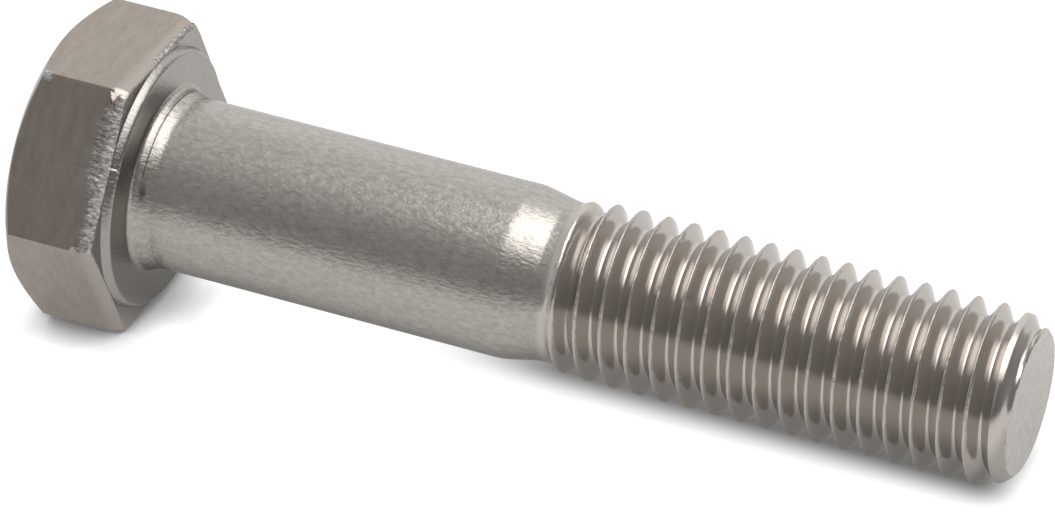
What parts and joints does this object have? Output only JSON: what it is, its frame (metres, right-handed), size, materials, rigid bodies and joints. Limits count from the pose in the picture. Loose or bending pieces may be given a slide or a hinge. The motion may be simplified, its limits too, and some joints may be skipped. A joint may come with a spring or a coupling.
{
  "type": "hex bolt",
  "caption": "Partly threaded hex bolt: hexagon head with washer face, plain shank and a right-hand coarse thread to a flat chamfered point.",
  "frame": {"origin": "centre of the head's flat outer face", "axes": "+X along the bolt's axis from the head to the point; +Z is the normal of one wrench flat, which faces up while the opposite flat faces down"},
  "size_m": [0.0675, 0.0218, 0.0188],
  "materials": {
    "stainless_steel": "satin, as forged and rolled"
  },
  "bodies": {
    "root": {"hex_bolt": "stainless_steel"}
  },
  "joints": []
}
